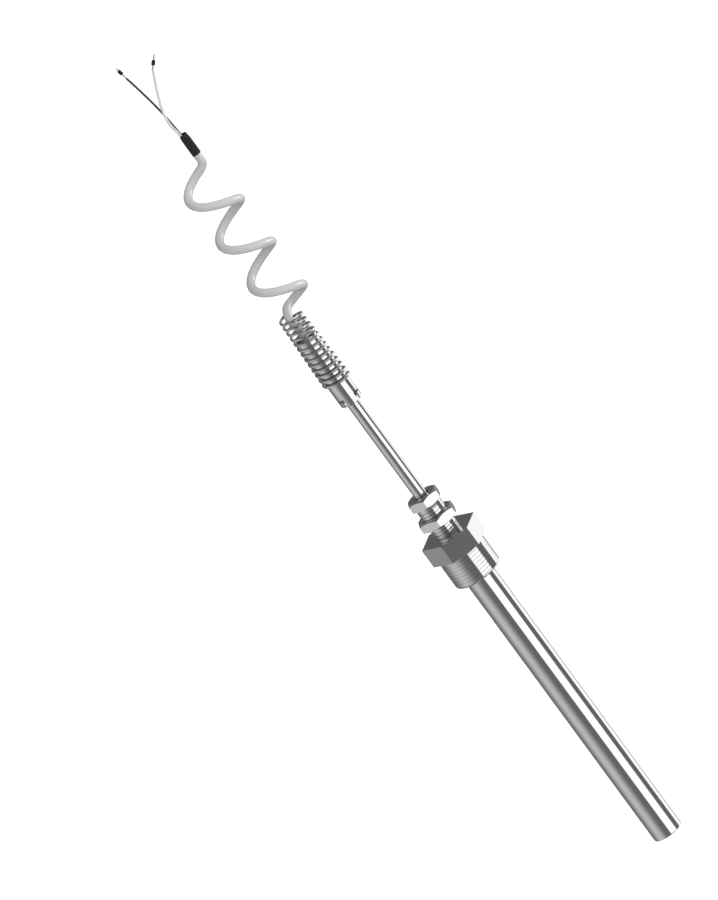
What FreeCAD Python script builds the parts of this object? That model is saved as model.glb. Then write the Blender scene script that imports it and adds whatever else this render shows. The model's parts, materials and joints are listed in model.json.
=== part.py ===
import FreeCAD, Part
import math
import os

import Sketcher

V = FreeCAD.Vector
UP = V(0, 0, 1)

# RTD probe with a bayonet cap, held by a hollow gland screw in a screw-in protection tube.
# Millimetres, +Z up the probe's axis, origin at the underside of the process hexagon, two corners on X.

# Driving sizes: alias, value, what it is
SIZES = [
    ("hex_across_flats", 28.6, "process hexagon, across flats"),
    ("hex_height", 11.0, "process hexagon, height"),
    ("process_thread_d", 26.67, "process thread, major diameter"),
    ("process_thread_length", 16.5, "process thread, length below the hexagon"),
    ("process_thread_chamfer", 0.8, "process thread, end chamfer"),
    ("gland_thread_d", 14.3, "gland screw, thread diameter"),
    ("gland_bore_depth", 16.5, "gland bore, depth below the hexagon's top"),
    ("gland_seat_web", 2.0, "web under the packing, thickness"),
    ("thread_clearance", 0.06, "radial clearance between threads"),
    ("stem_clearance", 0.3, "radial clearance of the stem in its guides"),
    ("tube_d", 16.5, "protection tube, outside diameter"),
    ("tube_bore_d", 8.2, "protection tube, bore"),
    ("tube_length", 179.9, "protection tube, length from its socket to the tip"),
    ("tube_end_wall", 6.0, "protection tube, thickness of the closed end"),
    ("tube_end_round", 0.6, "protection tube, rounding of the tip edge"),
    ("tube_fit_clearance", 0.03, "protection tube, radial clearance in its socket"),
    ("gland_head_across_flats", 16.5, "gland screw head, across flats"),
    ("gland_head_height", 5.6, "gland screw head, height"),
    ("gland_stand_off", 18.4, "gland screw head, height above the process hexagon"),
    ("gland_shank_length", 29.4, "gland screw shank, length"),
    ("gland_mouth_d", 8.6, "countersink in the gland screw head, diameter"),
    ("gland_mouth_depth", 2.0, "countersink in the gland screw head, depth"),
    ("gland_shank_chamfer", 0.9, "gland screw shank, end chamfer"),
    ("small_hex_turn", 19.0, "turn of the two small hexagons, degrees"),
    ("hex_crown_ratio", 0.95, "flat circle on a small hexagon's end, share of across flats"),
    ("lock_nut_across_flats", 19.6, "lock nut, across flats"),
    ("lock_nut_height", 5.7, "lock nut, height"),
    ("lock_nut_stand_off", 6.6, "lock nut, height above the process hexagon"),
    ("follower_height", 2.0, "follower ring, height"),
    ("packing_clearance", 0.12, "radial clearance of the packing round the stem"),
    ("face_gap", 0.1, "gap between faces of pieces that move apart"),
    ("tip_gap", 0.3, "gap between the probe's tip and the end of the tube's bore"),
    ("stem_d", 7.0, "probe sheath, outside diameter"),
    ("stem_wall", 0.7, "probe sheath, wall"),
    ("sheath_length", 307.6, "probe sheath, length"),
    ("sheath_tip_height", 1.5, "welded tip, height outside the sheath"),
    ("sheath_tip_round", 0.9, "welded tip, rounding of its edge"),
    ("sheath_tip_spigot", 1.5, "welded tip, length of its spigot"),
    ("fill_clearance", 0.04, "radial clearance of the filling in the sheath"),
    ("element_d", 3.0, "sensing element, diameter"),
    ("element_length", 15.0, "sensing element, length"),
    ("inner_lead_d", 0.8, "inner lead wire, diameter"),
    ("inner_lead_spacing", 2.2, "inner lead wires, spacing"),
    ("inner_lead_clearance", 0.15, "radial clearance of an inner lead in its bore"),
    ("potting_length", 8.0, "potting seal, length"),
    ("ferrule_d", 9.0, "transition ferrule, outside diameter"),
    ("ferrule_grip", 6.2, "transition ferrule, length on the sheath"),
    ("ferrule_neck_length", 9.6, "transition ferrule, length on the cable"),
    ("ferrule_neck_d", 7.2, "transition ferrule, neck diameter"),
    ("press_clearance", 0.02, "radial clearance of pieces fixed on the stem or the cable"),
    ("cap_d", 12.4, "bayonet cap, outside diameter"),
    ("cap_socket_d", 10.4, "bayonet cap, socket bore"),
    ("cap_socket_depth", 22.4, "bayonet cap, depth of the socket below its web"),
    ("cap_web", 2.5, "bayonet cap, web thickness"),
    ("cap_throat_d", 10.6, "bayonet cap, bore above the web"),
    ("cap_throat_depth", 16.9, "bayonet cap, depth of the bore above the web"),
    ("cap_rim_chamfer", 0.3, "bayonet cap, chamfer of the rim"),
    ("slot_height", 4.6, "bayonet slots, height above the rim"),
    ("slot_entry_width", 2.0, "bayonet slots, width of the entry leg"),
    ("slot_pocket_width", 1.7, "bayonet slots, width of the pocket leg"),
    ("slot_ramp_height", 1.2, "bayonet slots, height of the cross leg"),
    ("slot_pocket_floor", 1.0, "bayonet slots, rim left under the pocket"),
    ("slot_entry_turn", -55.0, "first entry leg, direction of its middle in degrees"),
    ("slot_pocket_offset", 41.0, "middle of a pocket leg from the middle of its entry leg, degrees"),
    ("washer_thickness", 0.9, "thrust washer, thickness"),
    ("collar_height", 2.5, "stem collar, height"),
    ("load_spring_length", 11.5, "load spring, fitted length"),
    ("load_spring_wire", 0.9, "load spring, wire diameter"),
    ("load_spring_d", 8.5, "load spring, mean coil diameter"),
    ("load_spring_pitch", 2.3, "load spring, pitch"),
    ("relief_wire", 1.9, "strain-relief spring, wire diameter"),
    ("relief_low_d", 14.1, "strain-relief spring, mean diameter of its lowest coil"),
    ("relief_high_d", 11.5, "strain-relief spring, mean diameter of its top coil"),
    ("relief_pitch", 3.33, "strain-relief spring, pitch"),
    ("relief_to_coil_gap", 0.45, "gap between the strain-relief spring and the curly part of the cable"),
    ("relief_start", 13.15, "strain-relief spring, height of its lower end above the cap's rim"),
    ("relief_turn", 10.0, "strain-relief spring, direction of its lower end in degrees"),
    ("cable_d", 4.6, "cable, diameter"),
    ("cable_tail_length", 25.9, "cable, straight length from the sheath to the curly part"),
    ("coil_radius", 10.85, "curly part, radius at the middle of the cable"),
    ("coil_length", 89.1, "curly part, height"),
    ("coil_offset_x", 4.6, "curly part, place of its axis"),
    ("top_tail_x", 11.2, "upper tail of the cable, place across"),
    ("top_tail_y", 8.53, "upper tail of the cable, place in depth"),
    ("top_tail_length", 9.0, "upper tail of the cable, length"),
    ("shrink_wall", 0.12, "heat-shrink sleeve, wall"),
    ("shrink_overlap", 4.3, "heat-shrink sleeve, length on the cable"),
    ("shrink_length", 12.7, "heat-shrink sleeve, length"),
    ("shrink_mouth_d", 4.1, "heat-shrink sleeve, outside diameter of its top"),
    ("shrink_taper", 3.0, "heat-shrink sleeve, length of its tapered top"),
    ("dark_lead_d", 1.2, "dark lead, diameter"),
    ("white_lead_d", 1.45, "white lead, diameter"),
    ("core_d", 0.8, "bare lead core, diameter"),
    ("core_length", 7.6, "bare lead core, length"),
    ("dark_core_bare", 3.2, "dark lead, bare length between insulation and collar"),
    ("white_core_bare", 1.9, "white lead, bare length between insulation and collar"),
    ("collar_sleeve_d", 1.95, "lead collar, diameter"),
    ("collar_sleeve_length", 2.6, "lead collar, length"),
]

SLOT_COUNT = 3
HEX_CORNER = 2 / 3 ** 0.5          # across corners over across flats
CROWN_SLOPE = 3 ** -0.5            # a nut's end chamfer falls at 30 degrees

doc = FreeCAD.newDocument("RtdProbe")
sheet = doc.addObject("Spreadsheet::Sheet", "Sizes")


class Size:
    """A size with both its value and the sheet expression that it comes from."""

    def __init__(self, value, text):
        self.value = value
        self.text = text

    def __add__(self, other):
        other = as_size(other)
        return Size(self.value + other.value, f"({self.text} + {other.text})")

    def __sub__(self, other):
        other = as_size(other)
        return Size(self.value - other.value, f"({self.text} - {other.text})")

    def __mul__(self, factor):
        factor = as_size(factor)
        return Size(self.value * factor.value, f"({self.text} * {factor.text})")

    def __truediv__(self, divisor):
        divisor = as_size(divisor)
        return Size(self.value / divisor.value, f"({self.text} / {divisor.text})")

    def __neg__(self):
        return Size(-self.value, f"(0 - {self.text})")


def as_size(thing):
    """A plain number as a Size; a Size stays as it is."""
    return thing if isinstance(thing, Size) else Size(float(thing), f"{float(thing):.9f}")


class Sizes:
    """The sheet's sizes by alias."""


size = Sizes()
for row, (alias, value, words) in enumerate(SIZES, start=1):
    sheet.set(f"A{row}", words)
    sheet.set(f"B{row}", str(value))
    sheet.setAlias(f"B{row}", alias)
    setattr(size, alias, Size(value, f"Sizes.{alias}"))
doc.recompute()

# Stations along the axis
hex_top = size.hex_height
thread_end = -size.process_thread_length
seat = hex_top - size.gland_bore_depth
tube_top = seat - size.gland_seat_web
tube_tip = tube_top - size.tube_length
bore_end = tube_tip + size.tube_end_wall
probe_tip = bore_end + size.tip_gap
sheath_bottom = probe_tip + size.sheath_tip_height
sheath_top = sheath_bottom + size.sheath_length
gland_head = hex_top + size.gland_stand_off
gland_top = gland_head + size.gland_head_height
gland_end = gland_head - size.gland_shank_length
follower_top = gland_end - size.face_gap
follower_bottom = follower_top - size.follower_height
packing_top = follower_bottom - size.face_gap
nut_bottom = hex_top + size.lock_nut_stand_off
ferrule_bottom = sheath_top - size.ferrule_grip
web_top = ferrule_bottom - size.face_gap
web_bottom = web_top - size.cap_web
cap_rim = web_bottom - size.cap_socket_depth
cap_top = web_top + size.cap_throat_depth
washer_top = web_bottom - size.face_gap
washer_bottom = washer_top - size.washer_thickness
collar_top = washer_bottom - size.load_spring_length
collar_bottom = collar_top - size.collar_height
spigot_top = sheath_bottom + size.sheath_tip_spigot
element_top = spigot_top + size.element_length
potting_bottom = sheath_top - size.potting_length
coil_bottom = sheath_top + size.cable_tail_length
relief_bottom = cap_rim + size.relief_start
relief_top = coil_bottom - size.relief_to_coil_gap - size.relief_wire / 2
coil_top = coil_bottom + size.coil_length
top_tail_end = coil_top + size.top_tail_length
shrink_bottom = top_tail_end - size.shrink_overlap
shrink_top = shrink_bottom + size.shrink_length

# Radii that several pieces share
tube_r = size.tube_d / 2
stem_r = size.stem_d / 2
sheath_bore_r = stem_r - size.stem_wall
guide_r = stem_r + size.stem_clearance
fixed_on_stem_r = stem_r + size.press_clearance
gland_r = size.gland_thread_d / 2
gland_bore_r = gland_r + size.thread_clearance
fill_r = sheath_bore_r - size.fill_clearance
cable_r = size.cable_d / 2
in_socket_r = size.cap_socket_d / 2 - size.stem_clearance


def bind(piece, **expressions):
    """Bind properties of a document object to Size expressions; a double underscore stands for a dot."""
    for name, amount in expressions.items():
        piece.setExpression(name.replace("__", "."), as_size(amount).text)


def lift(piece, height):
    """Set an object's height on the axis."""
    bind(piece, Placement__Base__z=height)


def turn(piece, degrees):
    """Turn an object about the axis."""
    piece.Placement.Rotation = FreeCAD.Rotation(UP, degrees.value)
    piece.setExpression("Placement.Rotation.Angle", f"{degrees.text} * 1 deg")


def turned(label, profile):
    """A turned body: the closed profile of (radius, height) points is revolved about the axis."""
    body = doc.addObject("PartDesign::Body", label)
    plane = next(item for item in body.Origin.OriginFeatures if item.Role == "XZ_Plane")
    sketch = body.newObject("Sketcher::SketchObject", f"{label}_profile")
    sketch.AttachmentSupport = [(plane, "")]
    sketch.MapMode = "FlatFace"
    corners = [V(as_size(r).value, as_size(z).value, 0) for r, z in profile]
    count = len(corners)
    for i in range(count):
        sketch.addGeometry(Part.LineSegment(corners[i], corners[(i + 1) % count]), False)
    for i in range(count):
        sketch.addConstraint(Sketcher.Constraint("Coincident", i, 2, (i + 1) % count, 1))
    for i, (r, z) in enumerate(profile):
        if as_size(r).value == 0:
            sketch.addConstraint(Sketcher.Constraint("PointOnObject", i, 1, -2))
        else:
            across = sketch.addConstraint(Sketcher.Constraint("DistanceX", -1, 1, i, 1, corners[i].x))
            sketch.setExpression(f"Constraints[{across}]", as_size(r).text)
        if as_size(z).value == 0:
            sketch.addConstraint(Sketcher.Constraint("PointOnObject", i, 1, -1))
        else:
            height = sketch.addConstraint(Sketcher.Constraint("DistanceY", -1, 1, i, 1, corners[i].y))
            sketch.setExpression(f"Constraints[{height}]", as_size(z).text)
    revolution = body.newObject("PartDesign::Revolution", f"{label}_turning")
    revolution.Profile = (sketch, [""])
    revolution.ReferenceAxis = (sketch, ["V_Axis"])
    revolution.Angle = 360
    return body


def ring(label, inner_r, outer_r, bottom, top):
    """A turned ring with square edges."""
    return turned(label, [(inner_r, bottom), (outer_r, bottom), (outer_r, top), (inner_r, top)])


def rod(label, radius, bottom, height):
    """A plain round rod on the axis."""
    piece = doc.addObject("Part::Cylinder", label)
    bind(piece, Radius=radius, Height=height)
    lift(piece, bottom)
    return piece


def hexagon(label, across_flats, bottom, height):
    """A hexagonal bar with a corner on the X axis."""
    piece = doc.addObject("Part::Prism", label)
    piece.Polygon = 6
    bind(piece, Circumradius=across_flats * HEX_CORNER / 2, Height=height)
    lift(piece, bottom)
    return piece


def boolean(kind, label, base, tool):
    """A Part boolean of two objects."""
    piece = doc.addObject(f"Part::{kind}", label)
    piece.Base = base
    piece.Tool = tool
    return piece


def crowned_hexagon(label, across_flats, bottom, height):
    """A small hexagon with both ends chamfered, so each face ends in arcs."""
    top = bottom + height
    bar = hexagon(f"{label}_bar", across_flats, bottom, height)
    turn(bar, size.small_hex_turn)
    flat_r = across_flats * size.hex_crown_ratio / 2
    wide_r = across_flats * HEX_CORNER / 2
    fall = (wide_r - flat_r) * CROWN_SLOPE
    crown = turned(f"{label}_crown", [
        (0, bottom), (flat_r, bottom), (wide_r, bottom + fall),
        (wide_r, top - fall), (flat_r, top), (0, top),
    ])
    return boolean("Common", f"{label}_crowned", bar, crown)


# Process bushing: hexagon, process thread, gland bore, packing seat and tube socket
bushing_bar = hexagon("bushing_bar", size.hex_across_flats, 0, size.hex_height)
process_r = size.process_thread_d / 2
bushing_thread = turned("bushing_thread", [
    (0, 0), (process_r, 0), (process_r, thread_end + size.process_thread_chamfer),
    (process_r - size.process_thread_chamfer, thread_end), (0, thread_end),
])
bushing_blank = boolean("Fuse", "bushing_blank", bushing_bar, bushing_thread)
socket_r = tube_r + size.tube_fit_clearance
bore_above = hex_top + size.face_gap
bore_below = thread_end - size.face_gap
bushing_bore = turned("bushing_bore", [
    (0, bore_above), (gland_bore_r, bore_above), (gland_bore_r, seat), (guide_r, seat),
    (guide_r, tube_top), (socket_r, tube_top), (socket_r, bore_below), (0, bore_below),
])
process_bushing = boolean("Cut", "process_bushing", bushing_blank, bushing_bore)

# Protection tube: drilled from the top, closed and rounded at the tip
tube_bore_r = size.tube_bore_d / 2
protection_tube = turned("protection_tube", [
    (0, tube_tip), (tube_r, tube_tip), (tube_r, tube_top), (tube_bore_r, tube_top), (tube_bore_r, bore_end),
    (0, bore_end),
])
doc.recompute()


def round_edge(body, radius, at_height, at_radius):
    """Round the circular edge of a turned body at one height and radius."""
    def sits_there(edge):
        circle = edge.Curve
        if not isinstance(circle, Part.Circle):
            return False
        return abs(circle.Center.z - at_height.value) < 0.01 and abs(circle.Radius - at_radius.value) < 0.01

    base = body.Tip
    names = [f"Edge{i}" for i, edge in enumerate(base.Shape.Edges, start=1) if sits_there(edge)]
    fillet = body.newObject("PartDesign::Fillet", f"{body.Name}_round")
    fillet.Base = (base, names)
    bind(fillet, Radius=radius)
    return fillet


round_edge(protection_tube, size.tube_end_round, tube_tip, tube_r)

# Packing ring and the follower ring that the gland screw presses on it
packing_ring = ring("packing_ring", stem_r + size.packing_clearance, gland_r, seat, packing_top)
follower_ring = ring("follower_ring", guide_r, gland_r, follower_bottom, follower_top)

# Gland screw: hollow, with a crowned hexagon head and a countersunk mouth
gland_hexagon = crowned_hexagon(
    "gland_head", size.gland_head_across_flats, gland_head, size.gland_head_height)
shank_chamfer = size.gland_shank_chamfer
gland_shank = turned("gland_shank", [
    (0, gland_end), (gland_r - shank_chamfer, gland_end), (gland_r, gland_end + shank_chamfer),
    (gland_r, gland_head), (0, gland_head),
])
gland_blank = boolean("Fuse", "gland_blank", gland_hexagon, gland_shank)
mouth_r = size.gland_mouth_d / 2
gland_bore = turned("gland_bore", [
    (0, gland_end - size.face_gap), (guide_r, gland_end - size.face_gap),
    (guide_r, gland_top - size.gland_mouth_depth), (mouth_r, gland_top),
    (mouth_r, gland_top + size.face_gap), (0, gland_top + size.face_gap),
])
gland_screw = boolean("Cut", "gland_screw", gland_blank, gland_bore)

# Lock nut on the gland screw
nut_hexagon = crowned_hexagon(
    "lock_nut_blank", size.lock_nut_across_flats, nut_bottom, size.lock_nut_height)
nut_bore = rod(
    "lock_nut_bore", gland_bore_r, nut_bottom - size.face_gap, size.lock_nut_height + size.face_gap * 2)
lock_nut = boolean("Cut", "lock_nut", nut_hexagon, nut_bore)

# Probe sheath and its welded tip
probe_sheath = ring("probe_sheath", sheath_bore_r, stem_r, sheath_bottom, sheath_top)
tip_round = size.sheath_tip_round
sheath_tip = turned("sheath_tip", [
    (0, probe_tip), (stem_r - tip_round, probe_tip), (stem_r, probe_tip + tip_round),
    (stem_r, sheath_bottom), (fill_r, sheath_bottom), (fill_r, spigot_top), (0, spigot_top),
])

# Filling of the sheath: sensing element, two-bore insulator, inner leads, potting seal
sensing_element = rod("sensing_element", size.element_d / 2, spigot_top, size.element_length)


def lead_bores(label, radius, bottom, height):
    """Two round rods side by side, for the inner leads or for the bores that they run in."""
    pair = []
    for name, side in (("left", -1), ("right", 1)):
        piece = rod(f"{label}_{name}", radius, bottom, height)
        bind(piece, Placement__Base__x=size.inner_lead_spacing * (side / 2))
        pair.append(piece)
    return pair


def with_two_bores(label, blank, bottom, height):
    """A rod with two bores for the inner leads."""
    bore_r = size.inner_lead_d / 2 + size.inner_lead_clearance
    bores = lead_bores(f"{label}_bore", bore_r, bottom - size.face_gap, height + size.face_gap * 2)
    first = boolean("Cut", f"{label}_one_bore", blank, bores[0])
    return boolean("Cut", label, first, bores[1])


insulator_length = potting_bottom - element_top
insulator_blank = rod("insulator_blank", fill_r, element_top, insulator_length)
insulator_rod = with_two_bores("insulator_rod", insulator_blank, element_top, insulator_length)
potting_blank = rod("potting_blank", fill_r, potting_bottom, size.potting_length)
potting_seal = with_two_bores("potting_seal", potting_blank, potting_bottom, size.potting_length)
inner_leads = lead_bores("inner_lead", size.inner_lead_d / 2, element_top, sheath_top - element_top)

# Stem collar, thrust washer and transition ferrule
stem_collar = ring("stem_collar", fixed_on_stem_r, in_socket_r, collar_bottom, collar_top)
thrust_washer = ring("thrust_washer", guide_r, in_socket_r, washer_bottom, washer_top)
ferrule_r = size.ferrule_d / 2
neck_r = size.ferrule_neck_d / 2
neck_bore_r = cable_r + size.press_clearance
ferrule_top = sheath_top + size.ferrule_neck_length
step_inside = sheath_top + size.press_clearance
transition_ferrule = turned("transition_ferrule", [
    (fixed_on_stem_r, ferrule_bottom), (ferrule_r, ferrule_bottom), (ferrule_r, sheath_top),
    (neck_r, sheath_top + ferrule_r - neck_r), (neck_r, ferrule_top), (neck_bore_r, ferrule_top),
    (neck_bore_r, step_inside), (fixed_on_stem_r, step_inside),
])

# Bayonet cap: socket, web and throat, with three J-slots in the rim
cap_r = size.cap_d / 2
cap_socket_r = size.cap_socket_d / 2
cap_throat_r = size.cap_throat_d / 2
rim_chamfer = size.cap_rim_chamfer
cap_blank = turned("cap_blank", [
    (cap_socket_r, cap_rim), (cap_r - rim_chamfer, cap_rim), (cap_r, cap_rim + rim_chamfer),
    (cap_r, cap_top), (cap_throat_r, cap_top), (cap_throat_r, web_top), (guide_r, web_top),
    (guide_r, web_bottom), (cap_socket_r, web_bottom),
])


def sector(label, bottom, top, start, sweep):
    """A pie slice that cuts through the cap's wall; start and sweep in degrees."""
    piece = rod(label, cap_r + size.face_gap, bottom, top - bottom)
    piece.setExpression("Angle", f"{sweep.text} * 1 deg")
    turn(piece, start)
    return piece


degrees_per_width = as_size(180 / math.pi) / cap_r
entry_sweep = size.slot_entry_width * degrees_per_width
pocket_sweep = size.slot_pocket_width * degrees_per_width
ramp_sweep = size.slot_pocket_offset + entry_sweep / 2 + pocket_sweep / 2
slot_top = cap_rim + size.slot_height
ramp_bottom = slot_top - size.slot_ramp_height
pocket_bottom = cap_rim + size.slot_pocket_floor
slot_legs = []
for i in range(SLOT_COUNT):
    entry_start = size.slot_entry_turn + 360 * i / SLOT_COUNT - entry_sweep / 2
    pocket_start = entry_start + ramp_sweep - pocket_sweep
    slot_legs += [
        sector(f"slot_entry_{i + 1}", cap_rim - size.face_gap, slot_top, entry_start, entry_sweep),
        sector(f"slot_ramp_{i + 1}", ramp_bottom, slot_top, entry_start, ramp_sweep),
        sector(f"slot_pocket_{i + 1}", pocket_bottom, slot_top, pocket_start, pocket_sweep),
    ]
slots = doc.addObject("Part::MultiFuse", "slots")
slots.Shapes = slot_legs
bayonet_cap = boolean("Cut", "bayonet_cap", cap_blank, slots)


def coiled_wire(label, wire, coil_d, pitch, span, start, steps, sides, hand):
    """A conical spring: a many-sided wire section carried round a helix and lofted between its places.

    coil_d holds the mean diameters at the bottom and the top, span the heights of the wire's middle there.
    hand is 1 for a right-handed helix and -1 for a left-handed one.
    """
    low_d, high_d = (item.value for item in coil_d)
    bottom, top = (item.value for item in span)
    turns = (top - bottom) / pitch.value
    count = round(turns * steps)
    rise = math.atan2(pitch.value, math.pi * (low_d + high_d) / 2)
    sections = []
    for i in range(count + 1):
        share = i / count
        angle = math.radians(start) + hand * 2 * math.pi * turns * share
        outward = V(math.cos(angle), math.sin(angle), 0)
        along = V(-math.sin(angle), math.cos(angle), 0) * hand * math.cos(rise) + UP * math.sin(rise)
        across = along.cross(outward)
        middle = outward * ((low_d + (high_d - low_d) * share) / 2) + UP * (bottom + (top - bottom) * share)
        corners = []
        for side in range(sides):
            lean = 2 * math.pi * side / sides
            corners.append(middle + (outward * math.cos(lean) + across * math.sin(lean)) * (wire.value / 2))
        sections.append(Part.makePolygon(corners + corners[:1]))
    piece = doc.addObject("Part::Feature", label)
    piece.Shape = Part.makeLoft(sections, True, True)
    return piece


RELIEF_STEPS, RELIEF_SIDES = 22, 8
LOAD_STEPS, LOAD_SIDES = 16, 6
strain_relief_spring = coiled_wire(
    "strain_relief_spring", size.relief_wire, (size.relief_low_d, size.relief_high_d), size.relief_pitch,
    (relief_bottom, relief_top), size.relief_turn.value, RELIEF_STEPS, RELIEF_SIDES, -1)
spring_inset = size.load_spring_wire / 2 + size.face_gap
load_spring = coiled_wire(
    "load_spring", size.load_spring_wire, (size.load_spring_d, size.load_spring_d), size.load_spring_pitch,
    (collar_top + spring_inset, washer_bottom - spring_inset), 0, LOAD_STEPS, LOAD_SIDES, 1)

# Cable: straight tail, curly part as one fat tube, upper tail
tail_bottom = sheath_top + size.press_clearance
cable_tail = rod("cable_tail", cable_r, tail_bottom, coil_bottom - tail_bottom)
cable_coil = rod("cable_coil", size.coil_radius + cable_r, coil_bottom, size.coil_length)
bind(cable_coil, Placement__Base__x=size.coil_offset_x)
cable_top = rod("cable_top", cable_r, coil_top, size.top_tail_length)
bind(cable_top, Placement__Base__x=size.top_tail_x, Placement__Base__y=size.top_tail_y)

# Heat-shrink sleeve over the cable's end, drawn in round the leads
shrink_bore_r = cable_r + size.press_clearance
shrink_r = shrink_bore_r + size.shrink_wall
shrink_mouth_r = size.shrink_mouth_d / 2
heat_shrink = turned("heat_shrink", [
    (shrink_bore_r, shrink_bottom), (shrink_r, shrink_bottom), (shrink_r, shrink_top - size.shrink_taper),
    (shrink_mouth_r, shrink_top), (shrink_mouth_r - size.shrink_wall, shrink_top),
    (shrink_bore_r, shrink_top - size.shrink_taper),
])
bind(heat_shrink, Placement__Base__x=size.top_tail_x, Placement__Base__y=size.top_tail_y)

# Leads: points from the cable's end to the end of the insulation, measured from the cable's end, and the
# direction of the bare core past it
LEAD_ROUTES = {
    "dark_lead": [
        (0.2, 0.55, 0.0), (-0.7, 0.8, 9.0), (-1.7, 0.85, 23.0), (-3.6, 0.75, 36.5), (-6.1, 0.65, 49.4),
    ],
    "white_lead": [
        (-0.8, -0.5, 0.0), (-1.05, -0.5, 8.5), (-2.75, -0.7, 17.4), (-0.9, -0.75, 26.3), (3.3, -0.6, 36.6),
        (7.4, -0.6, 45.4),
    ],
}
LEAD_SIZES = {"dark_lead": size.dark_lead_d, "white_lead": size.white_lead_d}
BARE_LENGTHS = {"dark_lead": size.dark_core_bare, "white_lead": size.white_core_bare}
CORE_DIRECTIONS = {"dark_lead": V(-0.17, 0.0, 0.985), "white_lead": V(0.66, 0.0, 0.75)}
ARC_SHARE = 0.45                   # share of the shorter run that a bend takes up


def rounded_path(points, label):
    """Straight runs joined by tangent arcs, each as large as its two runs allow; prints the arcs' radii."""
    edges = []
    last = points[0]
    radii = []
    for before, corner, after in zip(points, points[1:], points[2:]):
        into = (corner - before).normalize()
        out_of = (after - corner).normalize()
        half_turn = into.getAngle(out_of) / 2
        cut = ARC_SHARE * min(before.distanceToPoint(corner), corner.distanceToPoint(after))
        radius = cut / math.tan(half_turn)
        radii.append(round(radius, 1))
        first = corner - into * cut
        end = corner + out_of * cut
        inward = (out_of - into).normalize()
        middle = corner + inward * (radius / math.cos(half_turn) - radius)
        edges += [Part.LineSegment(last, first).toShape(), Part.Arc(first, middle, end).toShape()]
        last = end
    edges.append(Part.LineSegment(last, points[-1]).toShape())
    print(f"{label}: bend radii {radii} mm")
    return Part.Wire(edges)


def lead(label, points, diameter):
    """A lead's insulation: a round section carried along its route."""
    path = rounded_path(points, label)
    section = Part.Wire(Part.makeCircle(diameter.value / 2, points[0], points[1] - points[0]))
    piece = doc.addObject("Part::Feature", label)
    piece.Shape = path.makePipeShell([section], True, False)
    expected = math.pi * diameter.value ** 2 / 4 * path.Length
    share = piece.Shape.Volume / expected
    print(f"{label}: length {path.Length:.1f} mm, volume {share:.4f} of section times length")
    return piece


def set_along(piece, start, direction):
    """Place a piece that was made on the axis so that it runs from a point in a direction."""
    piece.Placement = FreeCAD.Placement(start, FreeCAD.Rotation(UP, direction))


cable_end = V(size.top_tail_x.value, size.top_tail_y.value, top_tail_end.value)
lead_pieces = []
for name, route in LEAD_ROUTES.items():
    points = [cable_end + V(*offset) for offset in route]
    direction = V(CORE_DIRECTIONS[name]).normalize()
    core = doc.addObject("Part::Cylinder", f"{name}_core")
    bind(core, Radius=size.core_d / 2, Height=size.core_length)
    set_along(core, points[-1], direction)
    collar = ring(f"{name}_collar", size.core_d / 2 + size.press_clearance, size.collar_sleeve_d / 2,
                  BARE_LENGTHS[name], BARE_LENGTHS[name] + size.collar_sleeve_length)
    set_along(collar, points[-1], direction)
    lead_pieces += [lead(name, points, LEAD_SIZES[name]), core, collar]

SUB_PARTS = [
    process_bushing, protection_tube, packing_ring, follower_ring, gland_screw, lock_nut,
    probe_sheath, sheath_tip, sensing_element, insulator_rod, potting_seal, *inner_leads,
    stem_collar, load_spring, thrust_washer, transition_ferrule, bayonet_cap, strain_relief_spring,
    cable_tail, cable_coil, cable_top, heat_shrink, *lead_pieces,
]

doc.recompute()
for item in doc.Objects:
    if "Invalid" in item.State or "Error" in item.State:
        raise RuntimeError(f"{item.Label} did not build: {item.State}")
for piece in SUB_PARTS:
    shape = piece.Shape
    if shape.isNull() or not shape.isValid() or len(shape.Solids) != 1:
        raise RuntimeError(f"{piece.Label} is not one valid solid")

os.makedirs("parts", exist_ok=True)
for piece in SUB_PARTS:
    piece.Shape.exportStep(f"parts/{piece.Label}.step")
print(f"{len(SUB_PARTS)} sub-parts written")
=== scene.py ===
"""RTD probe in a screw-in protection tube: the finish of every piece, its cable and leads, and its stage."""
import json
import math

import bmesh
import bpy
import numpy as np
from bpy.props import FloatProperty, FloatVectorProperty, IntProperty, PointerProperty
from mathutils import Matrix, Vector


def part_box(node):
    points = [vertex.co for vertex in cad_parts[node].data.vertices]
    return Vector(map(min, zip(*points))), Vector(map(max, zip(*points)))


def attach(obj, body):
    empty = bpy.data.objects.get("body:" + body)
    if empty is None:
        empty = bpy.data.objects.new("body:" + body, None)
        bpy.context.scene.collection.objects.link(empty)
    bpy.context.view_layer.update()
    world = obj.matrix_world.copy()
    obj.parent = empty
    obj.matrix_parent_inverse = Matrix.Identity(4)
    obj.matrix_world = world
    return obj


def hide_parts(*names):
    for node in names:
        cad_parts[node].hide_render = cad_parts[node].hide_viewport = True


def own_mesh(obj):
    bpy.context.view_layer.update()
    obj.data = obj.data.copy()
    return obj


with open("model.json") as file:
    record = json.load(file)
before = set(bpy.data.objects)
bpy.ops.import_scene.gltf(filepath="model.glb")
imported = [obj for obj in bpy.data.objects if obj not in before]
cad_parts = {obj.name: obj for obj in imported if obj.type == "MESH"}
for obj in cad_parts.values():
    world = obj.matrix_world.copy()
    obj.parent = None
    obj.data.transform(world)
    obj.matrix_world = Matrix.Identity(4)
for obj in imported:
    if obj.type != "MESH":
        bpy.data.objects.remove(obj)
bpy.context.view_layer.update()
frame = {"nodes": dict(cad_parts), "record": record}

bl_info = {
    "name": "RTD probe",
    "version": (1, 0, 0),
    "blender": (4, 5, 0),
    "location": "3D View > Sidebar > RTD probe",
    "description": "Dresses an RTD probe with polished steel, springs, a curly cable and two leads",
    "category": "Object",
}

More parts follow.
